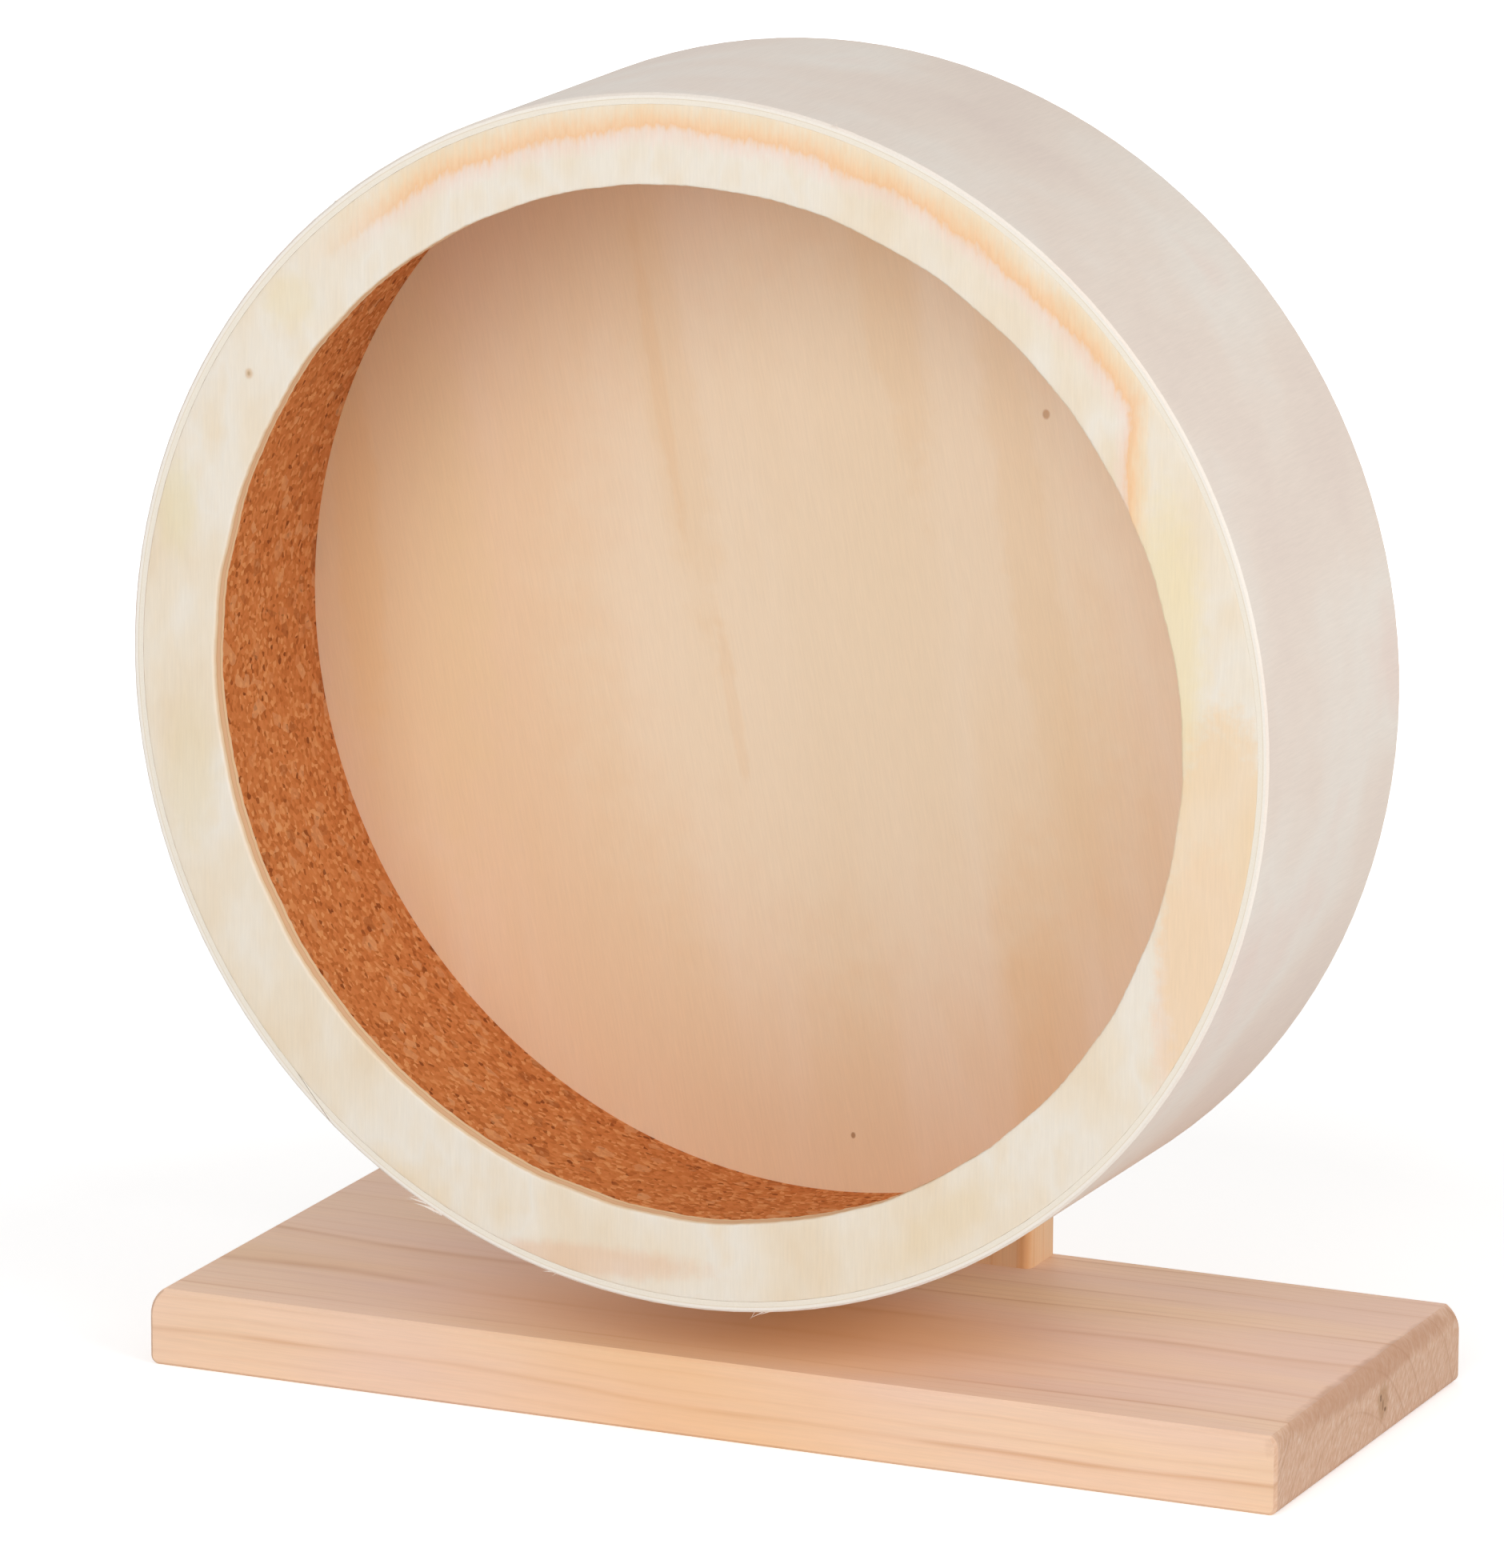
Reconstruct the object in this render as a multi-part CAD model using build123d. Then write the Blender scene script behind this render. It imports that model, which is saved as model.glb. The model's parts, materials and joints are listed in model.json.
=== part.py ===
from build123d import *
import os

# Small-pet exercise wheel: a plywood drum with a cork track, open at the front, turning on a
# ball bearing in a wooden hub behind it, on a pine stand. Millimetres, +Z up, +X to the right,
# the open face looks towards -Y. The origin is the middle of the stand's underside.

# Drum
drum_diameter = 270.0
drum_depth = 78.0
band_thickness = 2.4
band_edge_chamfer = 0.5
scarf_length = 14.0
scarf_gap = 0.15
scarf_angle = 228.0
ring_thickness = 5.0
ring_width = 17.5
ring_edge_chamfer = 0.7
disc_thickness = 5.0
cork_thickness = 6.0
cork_seam_gap = 0.4
cork_seam_angle = 62.0
glue_gap = 0.1

# Stand
base_length = 273.0
base_depth = 112.0
base_thickness = 18.0
base_end_round = 7.0
base_foot_round = 2.0
base_long_edge_chamfer = 0.7
drum_clearance = 14.0
upright_width = 76.0
upright_thickness = 15.0
upright_edge_round = 2.0

# Joint of upright and base: dowels beside two screws driven from below
dowel_diameter = 6.0
dowel_length = 30.0
dowel_depth_in_base = 12.0
dowel_edge_distance = 12.0
dowel_end_chamfer = 0.8
dowel_hole_spare = 1.0
upright_screw_diameter = 4.0
upright_screw_length = 45.0
upright_screw_head = 8.0
upright_screw_spacing = 24.0
screw_hole_spare = 2.0

# Every wood screw and the hole it goes in
screw_tip_share = 1.6
recess_span_share = 0.46
recess_width_share = 0.13
recess_depth_share = 0.2
wood_hole_gap = 0.05
shank_clearance = 0.3
head_clearance = 0.2

# Hub block and the screws that hold it to the disc while the glue sets
hub_diameter = 60.0
hub_depth = 20.0
hub_bore_spare = 1.5
hub_edge_chamfer = 1.2
hub_screw_diameter = 3.5
hub_screw_head = 7.0
hub_screw_count = 3
hub_first_screw_angle = 90.0
hub_screw_sink = 2.5
hub_screw_bite = 2.5
hub_screw_hole_spare = 0.6

# Deep groove ball bearing, 8 x 22 x 7
bearing_bore = 8.0
bearing_outside = 22.0
bearing_width = 7.0
ball_diameter = 3.969
ball_count = 7
groove_gap = 0.075
race_land = 1.45
race_chamfer = 0.3
seat_gap = 0.03
shield_thickness = 0.35
shield_recess = 0.25
shield_step = 0.7
shield_gap = 0.05
shield_lip_gap = 0.3
cage_radial = 1.9
cage_shield_gap = 0.35
cage_front = 0.9
cage_pocket_gap = 0.11

# Axle: hexagon bolt caught in the hub, clamped to the upright
bolt_fit_gap = 0.05
bolt_head_height = 5.3
bolt_end_chamfer = 1.0
bolt_reach_in_nut = 7.7
wrench_size = 13.0
hexagon_chamfer_slope = 0.9
head_float = 0.6
sleeve_land_gap = 0.25
sleeve_bore_gap = 0.1
shim_thickness = 1.0
jam_nut_height = 4.0
washer_diameter = 16.0
washer_thickness = 1.6
washer_bore_gap = 0.2
upright_bore_gap = 0.2
cap_nut_height = 15.0
cap_nut_hexagon = 6.5
cap_nut_dome = 12.5
cap_nut_hole_depth = 11.0
drill_point_depth = 1.2

# Radii and heights that follow from the sizes above
drum_radius = drum_diameter / 2
band_inside = drum_radius - band_thickness
lining_radius = band_inside - glue_gap
cork_inside = lining_radius - cork_thickness
opening_radius = lining_radius - ring_width
axle_height = base_thickness + drum_clearance + drum_radius
thread_hole = bearing_bore / 2
bolt_radius = thread_hole - bolt_fit_gap
head_corner_radius = wrench_size / 3**0.5
bearing_seat_radius = bearing_outside / 2 + seat_gap
hub_screw_radius = (hub_diameter / 2 + bearing_seat_radius) / 2
hub_screw_grip = hub_depth - hub_screw_sink
hub_screw_length = hub_screw_grip + hub_screw_bite
pitch_radius = (bearing_bore + bearing_outside) / 4
ball_radius = ball_diameter / 2
groove_radius = ball_radius + groove_gap
cage_back = bearing_width / 2 - shield_recess - shield_thickness - cage_shield_gap
inner_land = pitch_radius - race_land
outer_land = pitch_radius + race_land
shield_seat = outer_land + shield_step
sleeve_bore = thread_hole + sleeve_bore_gap
sleeve_outside = inner_land - sleeve_land_gap

# Places along the axle, from the back of the stand forwards
upright_back = base_depth / 2
upright_front = upright_back - upright_thickness
upright_middle = upright_back - upright_thickness / 2
jam_nut_back = upright_front - washer_thickness
jam_nut_front = jam_nut_back - jam_nut_height
bearing_back = jam_nut_front - shim_thickness
bearing_front = bearing_back - bearing_width
bearing_middle = bearing_back - bearing_width / 2
hub_back = bearing_back
drum_back = hub_back - hub_depth
drum_front = drum_back - drum_depth
disc_front = drum_back - disc_thickness
ring_back = drum_front + ring_thickness
head_front = drum_back + head_float
head_back = head_front + bolt_head_height
cap_nut_seat = upright_back + washer_thickness
bolt_end = cap_nut_seat + bolt_reach_in_nut
cap_nut_end = cap_nut_seat + cap_nut_height
cap_nut_hole_end = cap_nut_seat + cap_nut_hole_depth

axle = Axis((0, 0, axle_height), (0, 1, 0))
section_plane = Plane.XY.offset(axle_height)


def facing_back(along):
    """Plane across the axle at this place along it, its normal towards the back."""
    return Plane(origin=(0, along, axle_height), x_dir=(1, 0, 0), z_dir=(0, 1, 0))


def round_the_axle(angle):
    """Turn about the axle, anticlockwise seen from the front, for what is laid out on the right."""
    return Pos(0, 0, axle_height) * Rot(0, -angle, 0) * Pos(0, 0, -axle_height)


def section(points):
    """Half section of a turned piece, each point a radius and a place along the axle."""
    return section_plane * make_face(Polyline(*points, close=True))


def ring_section(inside, outside, front, back):
    """Half section of a plain ring."""
    return section([(inside, front), (outside, front), (outside, back), (inside, back)])


def turned(face):
    """The solid that a half section sweeps round the axle."""
    return revolve(face, axis=axle)


def ring(inside, outside, front, back):
    """Plain ring about the axle."""
    return turned(ring_section(inside, outside, front, back))


def rod(radius, front, back):
    """Plain rod on the axle."""
    return extrude(facing_back(front) * Circle(radius), back - front)


def hexagon(front, back, chamfer_front, chamfer_back):
    """Hexagon bar on the axle with its corners turned off at the ends asked for."""
    flat = wrench_size / 2
    outline = RegularPolygon(flat, 6, major_radius=False)
    bar = extrude(facing_back(front) * outline, back - front)
    corner = head_corner_radius
    start = flat if chamfer_front else corner
    end = flat if chamfer_back else corner
    depth = hexagon_chamfer_slope * (corner - flat)
    profile = [
        (0, front),
        (start, front),
        (corner, front + (depth if chamfer_front else 0)),
        (corner, back - (depth if chamfer_back else 0)),
        (end, back),
        (0, back),
    ]
    distinct = [p for i, p in enumerate(profile) if i == 0 or p != profile[i - 1]]
    return bar & turned(section(distinct))


def countersunk_screw(diameter, length, head):
    """Wood screw along +Z from its head's flat top at the origin, with a cross recess."""
    shank = diameter / 2
    head_height = head / 2 - shank
    profile = Polyline(
        (0, 0),
        (head / 2, 0),
        (shank, head_height),
        (shank, length - screw_tip_share * diameter),
        (0, length),
        close=True,
    )
    body = revolve(Plane.XZ * make_face(profile), axis=Axis.Z)
    slot_size = [share * head for share in (recess_span_share, recess_width_share, recess_depth_share)]
    slot = Box(*slot_size, align=(Align.CENTER, Align.CENTER, Align.MIN))
    return body - slot - Rot(0, 0, 90) * slot


def screw_hole(diameter, head, grip, depth):
    """Hole for such a screw: countersink, clearance through the grip, then the hole it bites in."""
    top = head / 2 + head_clearance
    loose = diameter / 2 + shank_clearance
    tight = diameter / 2 + wood_hole_gap
    profile = Polyline(
        (0, 0),
        (top, 0),
        (loose, top - loose),
        (loose, grip),
        (tight, grip),
        (tight, depth),
        (0, depth),
        close=True,
    )
    return revolve(Plane.XZ * make_face(profile), axis=Axis.Z)


def mirrored_pair(spacing, height, shape):
    """The shape twice, either side of the middle in the upright's thickness."""
    return [Pos(side * spacing / 2, upright_middle, height) * shape for side in (-1, 1)]


# Fixings between base and upright
upright_screw = countersunk_screw(upright_screw_diameter, upright_screw_length, upright_screw_head)
upright_screws = mirrored_pair(upright_screw_spacing, 0, upright_screw)
upright_screw_hole = screw_hole(
    upright_screw_diameter,
    upright_screw_head,
    base_thickness,
    upright_screw_length + screw_hole_spare,
)
upright_screw_holes = mirrored_pair(upright_screw_spacing, 0, upright_screw_hole)

dowel_foot = base_thickness - dowel_depth_in_base
dowel_blank = extrude(Circle(dowel_diameter / 2), dowel_length)
dowel = chamfer(dowel_blank.edges().filter_by(GeomType.CIRCLE), dowel_end_chamfer)
dowel_spacing = upright_width - 2 * dowel_edge_distance
dowels = mirrored_pair(dowel_spacing, dowel_foot, dowel)
dowel_hole = extrude(
    Circle(dowel_diameter / 2 + wood_hole_gap),
    dowel_length + 2 * dowel_hole_spare,
)
dowel_holes = mirrored_pair(dowel_spacing, dowel_foot - dowel_hole_spare, dowel_hole)


def make_base_board():
    """Pine board lying flat, both short ends rounded over on top, all other edges eased."""
    outline = Pos(0, base_thickness / 2) * Rectangle(base_length, base_thickness)
    tops = outline.vertices().group_by(Axis.Y)[-1]
    outline = fillet(tops, base_end_round)
    feet = outline.vertices().group_by(Axis.Y)[0]
    outline = fillet(feet, base_foot_round)
    board = extrude(Plane.XZ * outline, base_depth / 2, both=True)
    long_sides = board.faces().filter_by(Axis.Y)
    board = chamfer(long_sides.edges(), base_long_edge_chamfer)
    for hole in upright_screw_holes + dowel_holes:
        board -= hole
    return board


def make_upright_board():
    """Pine board on end, its head rounded about the axle, bored for the bolt."""
    foot_to_axle = axle_height - base_thickness
    straight = Pos(0, base_thickness + foot_to_axle / 2) * Rectangle(upright_width, foot_to_axle)
    head = Pos(0, axle_height) * Circle(upright_width / 2)
    # Plane.XZ looks towards -Y, so a negative offset lies towards the back.
    board = extrude(Plane.XZ.offset(-upright_front) * (straight + head), -upright_thickness)
    rims = board.faces().filter_by(Axis.Y).edges()
    rims = [e for e in rims if e.center().Z > base_thickness + upright_edge_round]
    board = fillet(rims, upright_edge_round)
    board -= rod(thread_hole + upright_bore_gap, upright_front, upright_back)
    for hole in upright_screw_holes + dowel_holes:
        board -= hole
    return board


def slope_angle(rise, run):
    """Angle of a slope in degrees."""
    return Vector(run, 0).get_angle(Vector(run, rise))


def make_rim_band():
    """Strip of thin plywood bent to a hoop, its two bevelled ends lapped in a long scarf."""
    hoop = ring(band_inside, drum_radius, drum_front, drum_back)
    outer_edges = hoop.edges().filter_by(GeomType.CIRCLE).group_by(SortBy.RADIUS)[-1]
    hoop = chamfer(outer_edges, band_edge_chamfer)
    slope = Rot(0, slope_angle(band_thickness, scarf_length), 0)
    # The cut is longer and wider than the scarf, so that it passes right through the strip.
    cut = Box(scarf_gap, 2 * drum_depth, 1.5 * scarf_length)
    middle = Pos(drum_radius - band_thickness / 2, (drum_front + drum_back) / 2, axle_height)
    return hoop - round_the_axle(scarf_angle) * middle * slope * cut


def make_front_ring():
    """Plywood ring let into the front of the hoop, its opening eased at the front."""
    plate = ring(opening_radius, lining_radius, drum_front, ring_back)
    front_edges = plate.edges().filter_by(GeomType.CIRCLE).group_by(Axis.Y)[0]
    return chamfer(front_edges.sort_by(SortBy.RADIUS)[0], ring_edge_chamfer)


def hub_screw_places(along):
    """Planes for the hub's screws, each looking forwards from this place along the axle."""
    turns = [hub_first_screw_angle + 360 * i / hub_screw_count for i in range(hub_screw_count)]
    seat = Pos(hub_screw_radius, along, axle_height) * Rot(90, 0, 0)
    return [round_the_axle(turn) * seat for turn in turns]


hub_screw_seat = hub_back - hub_screw_sink
hub_screw_tip_hole = screw_hole(
    hub_screw_diameter,
    hub_screw_head,
    hub_screw_grip,
    hub_screw_length + hub_screw_hole_spare,
)
hub_screw_holes = [place * hub_screw_tip_hole for place in hub_screw_places(hub_screw_seat)]


def make_back_disc():
    """Plywood disc closing the back of the hoop, plain inside, with the hub's screws biting in it."""
    plate = rod(lining_radius, disc_front, drum_back)
    for hole in hub_screw_holes:
        plate -= hole
    return plate


def make_cork_track():
    """Cork sheet lining the hoop between ring and disc, its two ends butted."""
    lining = ring(cork_inside, lining_radius, ring_back, disc_front)
    cut = Box(3 * cork_thickness, drum_depth, cork_seam_gap)
    middle = Pos(lining_radius - cork_thickness / 2, (ring_back + disc_front) / 2, axle_height)
    return lining - round_the_axle(cork_seam_angle) * middle * cut


def make_hub_block():
    """Turned block glued and screwed to the disc: a through bore, and a seat for the bearing."""
    block = rod(hub_diameter / 2, drum_back, hub_back)
    rear_rim = block.edges().filter_by(GeomType.CIRCLE).group_by(Axis.Y)[-1]
    block = chamfer(rear_rim, hub_edge_chamfer)
    block -= rod(head_corner_radius + hub_bore_spare, drum_back, bearing_front)
    block -= rod(bearing_seat_radius, bearing_front, hub_back)
    sink = extrude(Circle(hub_screw_head / 2 + head_clearance), -hub_screw_sink)
    for place in hub_screw_places(hub_screw_seat):
        block -= place * sink
    for hole in hub_screw_holes:
        block -= hole
    return block


def make_hub_screws():
    """Countersunk screws, heads sunk below the hub's back face."""
    screw = countersunk_screw(hub_screw_diameter, hub_screw_length, hub_screw_head)
    return [place * screw for place in hub_screw_places(hub_screw_seat)]


def groove_section():
    """Round section that both raceways are cut to."""
    return section_plane * Pos(pitch_radius, bearing_middle) * Circle(groove_radius)


def make_outer_race():
    """Outer race with its groove and a step at each face for the shield."""
    outside = bearing_outside / 2
    blank = ring_section(outer_land, outside, bearing_front, bearing_back)
    rims = blank.vertices().group_by(Axis.X)[-1]
    blank = chamfer(rims, race_chamfer)
    step = shield_recess + shield_thickness
    blank -= ring_section(outer_land, shield_seat, bearing_front, bearing_front + step)
    blank -= ring_section(outer_land, shield_seat, bearing_back - step, bearing_back)
    return turned(blank - groove_section())


def make_inner_race():
    """Inner race with its groove, clamped on the bolt."""
    blank = ring_section(thread_hole, inner_land, bearing_front, bearing_back)
    rims = blank.vertices().group_by(Axis.X)[0]
    blank = chamfer(rims, race_chamfer)
    return turned(blank - groove_section())


def round_the_pitch(shape):
    """The shape at each ball's place."""
    place = Pos(pitch_radius, bearing_middle, axle_height)
    return [round_the_axle(360 * i / ball_count) * place * shape for i in range(ball_count)]


def make_balls():
    """Steel balls, evenly spaced."""
    return round_the_pitch(Sphere(ball_radius))


def make_cage():
    """Crown cage, its round pockets open to the front so that each ball snaps in."""
    inside = pitch_radius - cage_radial / 2
    crown = ring(
        inside,
        inside + cage_radial,
        bearing_middle - cage_front,
        bearing_middle + cage_back,
    )
    pocket = Rot(0, 90, 0) * Cylinder(ball_radius + cage_pocket_gap, 2 * cage_radial)
    return crown - round_the_pitch(pocket)


def make_shields():
    """Thin steel shield in each face of the bearing, clear of the inner race."""
    inside = inner_land + shield_lip_gap
    outside = shield_seat - shield_gap
    front = bearing_front + shield_recess
    back = bearing_back - shield_recess
    return [
        ring(inside, outside, front, front + shield_thickness),
        ring(inside, outside, back - shield_thickness, back),
    ]


def make_axle_bolt():
    """Hexagon bolt, its head caught between disc and bearing."""
    shank = rod(bolt_radius, head_back, bolt_end)
    tip = shank.edges().filter_by(GeomType.CIRCLE).group_by(Axis.Y)[-1]
    shank = chamfer(tip, bolt_end_chamfer)
    return hexagon(head_front, head_back, True, False) + shank


def make_spacer_sleeve():
    """Sleeve that carries the bolt's clamping from its head to the inner race."""
    return ring(sleeve_bore, sleeve_outside, head_back, bearing_front)


def make_race_shim():
    """Small shim that keeps the jam nut off the shield and the outer race."""
    return ring(sleeve_bore, sleeve_outside, bearing_back, jam_nut_front)


def make_jam_nut():
    """Thin hexagon nut that clamps the inner race."""
    blank = hexagon(jam_nut_front, jam_nut_back, True, True)
    return blank - rod(thread_hole, jam_nut_front, jam_nut_back)


def washer(front):
    """Flat washer."""
    return ring(thread_hole + washer_bore_gap, washer_diameter / 2, front, front + washer_thickness)


def make_cap_nut():
    """Cap nut over the bolt's end: hexagon foot, domed cap, blind hole with a drilled point."""
    foot = hexagon(cap_nut_seat, cap_nut_seat + cap_nut_hexagon, True, False)
    dome_radius = cap_nut_dome / 2
    neck = cap_nut_end - dome_radius
    cap = rod(dome_radius, cap_nut_seat + cap_nut_hexagon / 2, neck)
    cap += Pos(0, neck, axle_height) * Sphere(dome_radius)
    hole = section(
        [
            (0, cap_nut_seat),
            (thread_hole, cap_nut_seat),
            (thread_hole, cap_nut_hole_end),
            (0, cap_nut_hole_end + drill_point_depth),
        ]
    )
    return foot + cap - turned(hole)


nodes = {
    "base_board": make_base_board(),
    "upright_board": make_upright_board(),
    "upright_dowels": dowels,
    "upright_screws": upright_screws,
    "rim_band": make_rim_band(),
    "front_ring": make_front_ring(),
    "back_disc": make_back_disc(),
    "cork_track": make_cork_track(),
    "hub_block": make_hub_block(),
    "hub_screws": make_hub_screws(),
    "bearing_outer_race": make_outer_race(),
    "bearing_inner_race": make_inner_race(),
    "bearing_balls": make_balls(),
    "bearing_cage": make_cage(),
    "bearing_shields": make_shields(),
    "axle_bolt": make_axle_bolt(),
    "spacer_sleeve": make_spacer_sleeve(),
    "race_shim": make_race_shim(),
    "jam_nut": make_jam_nut(),
    "front_washer": washer(jam_nut_back),
    "rear_washer": washer(upright_back),
    "cap_nut": make_cap_nut(),
}

os.makedirs("parts", exist_ok=True)
for name, made in nodes.items():
    pieces = made if isinstance(made, list) else [made]
    solids = [solid for piece in pieces for solid in piece.solids()]
    export_step(Compound(children=solids) if len(solids) > 1 else solids[0], f"parts/{name}.step")
    print(name, len(solids), "solid" if len(solids) == 1 else "solids")
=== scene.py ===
import json
import math

import bmesh
import bpy
from mathutils import Matrix, Vector, noise


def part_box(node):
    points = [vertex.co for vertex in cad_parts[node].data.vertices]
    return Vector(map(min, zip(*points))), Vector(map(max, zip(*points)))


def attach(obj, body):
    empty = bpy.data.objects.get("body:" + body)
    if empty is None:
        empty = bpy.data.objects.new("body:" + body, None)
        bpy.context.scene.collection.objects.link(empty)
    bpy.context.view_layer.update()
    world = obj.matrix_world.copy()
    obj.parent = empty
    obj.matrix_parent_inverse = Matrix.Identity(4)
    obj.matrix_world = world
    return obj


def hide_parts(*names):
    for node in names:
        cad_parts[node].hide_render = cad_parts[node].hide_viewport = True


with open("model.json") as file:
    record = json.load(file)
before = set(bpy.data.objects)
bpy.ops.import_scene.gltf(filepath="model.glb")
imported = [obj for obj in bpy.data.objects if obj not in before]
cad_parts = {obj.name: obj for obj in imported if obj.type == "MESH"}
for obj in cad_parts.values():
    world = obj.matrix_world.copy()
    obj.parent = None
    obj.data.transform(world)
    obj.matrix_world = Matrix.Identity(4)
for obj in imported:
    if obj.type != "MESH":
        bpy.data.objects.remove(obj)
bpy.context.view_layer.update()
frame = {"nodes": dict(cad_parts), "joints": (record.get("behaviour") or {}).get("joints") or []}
nodes = frame["nodes"]

# Camera
# A long portrait lens, to the right of the wheel's axle and a little above it. The picture is 1880
# by 1960 pixels, and 36 mm of the sensor span its height.
drum_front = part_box("front_ring")[0].y
axle_height = frame["joints"][0]["pos_m"][2]
azimuth = math.radians(24.152)
elevation = math.radians(13.633)
roll = math.radians(0.2505)
distance = 2.36074
right_of_axle, below_axle = 0.01522, 0.01502
target = Vector((right_of_axle, drum_front, axle_height - below_axle))
lens_in_pixels = 13640.78
picture_height = 1960
sensor = 36.0

back = Vector((
    math.sin(azimuth) * math.cos(elevation),
    -math.cos(azimuth) * math.cos(elevation),
    math.sin(elevation),
))
level_right = Vector((0, 0, 1)).cross(back).normalized()
level_up = back.cross(level_right)
right = math.cos(roll) * level_right + math.sin(roll) * level_up
up = back.cross(right)
camera_data = bpy.data.cameras.new("portrait_camera")
camera_data.sensor_fit = "VERTICAL"
camera_data.sensor_height = sensor
camera_data.lens = lens_in_pixels * sensor / picture_height
camera_data.clip_end = 50
camera = bpy.data.objects.new("portrait_camera", camera_data)
turn = Matrix((right, up, back)).transposed().to_4x4()
camera.matrix_world = Matrix.Translation(target + distance * back) @ turn
bpy.context.scene.collection.objects.link(camera)
bpy.context.scene.camera = camera
bpy.context.scene.view_settings.view_transform = "Standard"


# Studio
# A white sweep lit from all round, with one large soft box near the camera, a second on the right
# and a weak one behind. The sweep is seen plain white, but for the soft shadow under the board.
def linear(hex_colour):
    """sRGB hex as the linear colour that the shader takes."""
    channels = [int(hex_colour[i:i + 2], 16) / 255 for i in (1, 3, 5)]
    return [c / 12.92 if c <= 0.04045 else ((c + 0.055) / 1.055) ** 2.4 for c in channels] + [1]


def add(tree, kind, inputs=None, stops=None, **settings):
    """Adds a node: its settings, its inputs, each a value or another node's output, and a ramp's stops."""
    made = tree.nodes.new(kind)
    for name, value in settings.items():
        setattr(made, name, value)
    for name, value in (inputs or {}).items():
        if isinstance(value, bpy.types.NodeSocket):
            tree.links.new(value, made.inputs[name])
        else:
            made.inputs[name].default_value = value
    for i, (place, value) in enumerate(stops or []):
        ramp = made.color_ramp
        stop = ramp.elements[i] if i < len(ramp.elements) else ramp.elements.new(place)
        stop.position = place
        stop.color = linear(value) if isinstance(value, str) else (value, value, value, 1)
    return made


def new_material(name):
    """An empty material and its node tree."""
    material = bpy.data.materials.new(name)
    material.use_nodes = True
    material.node_tree.nodes.clear()
    return material, material.node_tree


def make_world():
    """Even white light, and plain white where the camera, gloss or glass looks past the sweep."""
    world = bpy.data.worlds.new("white_room")
    world.use_nodes = True
    tree = world.node_tree
    tree.nodes.clear()
    path = add(tree, "ShaderNodeLightPath")
    seen = add(tree, "ShaderNodeMath", {
        0: path.outputs["Is Camera Ray"], 1: path.outputs["Is Glossy Ray"]}, operation="MAXIMUM")
    seen_or_through = add(tree, "ShaderNodeMath", {
        0: seen.outputs[0], 1: path.outputs["Is Transmission Ray"]}, operation="MAXIMUM")
    room_light = 0.45
    lit = add(tree, "ShaderNodeBackground", {"Color": linear("#FFFFFF"), "Strength": room_light})
    plain = add(tree, "ShaderNodeBackground", {"Color": linear("#FFFFFF"), "Strength": 1.0})
    mixed = add(tree, "ShaderNodeMixShader", {
        0: seen_or_through.outputs[0], 1: lit.outputs[0], 2: plain.outputs[0]})
    add(tree, "ShaderNodeOutputWorld", {"Surface": mixed.outputs[0]})
    bpy.context.scene.world = world


def make_sweep():
    """Matt white floor. Its own faint glow, seen only by the camera, takes the lit part to white."""
    bpy.ops.mesh.primitive_circle_add(vertices=96, radius=6.0, fill_type="NGON")
    sweep = bpy.context.object
    sweep.name = "white_sweep"
    material, tree = new_material("matt white paper")
    path = add(tree, "ShaderNodeLightPath")
    paper = add(tree, "ShaderNodeBsdfDiffuse", {"Color": linear("#F4F4F4")})
    place = add(tree, "ShaderNodeTexCoord")
    away = add(tree, "ShaderNodeVectorMath", {0: place.outputs["Object"]}, operation="LENGTH")
    shadow_end, white_start = 0.22, 0.75
    glow_by_board, glow_far_off = 0.42, 0.95
    glow_here = add(tree, "ShaderNodeMapRange", {
        "Value": away.outputs["Value"], "From Min": shadow_end, "From Max": white_start,
        "To Min": glow_by_board, "To Max": glow_far_off})
    glow_level = add(tree, "ShaderNodeMath", {
        0: path.outputs["Is Camera Ray"], 1: glow_here.outputs[0]}, operation="MULTIPLY")
    glow = add(tree, "ShaderNodeEmission", {
        "Color": linear("#FFFFFF"), "Strength": glow_level.outputs[0]})
    both = add(tree, "ShaderNodeAddShader", {0: paper.outputs[0], 1: glow.outputs[0]})
    add(tree, "ShaderNodeOutputMaterial", {"Surface": both.outputs[0]})
    sweep.data.materials.append(material)


def add_soft_box(name, place, aim, size, power):
    """Square soft box at a place, turned to what it lights. Its side is in metres, its power in
    watts."""
    data = bpy.data.lights.new(name, "AREA")
    data.size = size
    data.energy = power
    lamp = bpy.data.objects.new(name, data)
    lamp.location = place
    lamp.rotation_euler = (Vector(aim) - Vector(place)).to_track_quat("-Z", "Y").to_euler()
    bpy.context.scene.collection.objects.link(lamp)


make_world()
make_sweep()
add_soft_box("front_box", (0.1, -1.9, 0.95), (0, 0, 0.12), 1.3, 16.2)
add_soft_box("right_box", (1.8, -0.6, 0.9), (0, 0, 0.15), 1.0, 13.0)
add_soft_box("rear_box", (-1.1, 1.7, 1.1), (0, 0, 0.15), 1.1, 4.5)


# Base board
# A length of planed pine, left raw. Its two short ends are sawn, then rounded over on top and
# sanded by hand. The end grain is darker and rougher than the faces.
def millimetres(tree):
    """The mesh's own coordinates in millimetres."""
    place = add(tree, "ShaderNodeTexCoord")
    return add(tree, "ShaderNodeVectorMath", {
        0: place.outputs["Object"], 1: (1000, 1000, 1000)}, operation="MULTIPLY").outputs[0]


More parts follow.
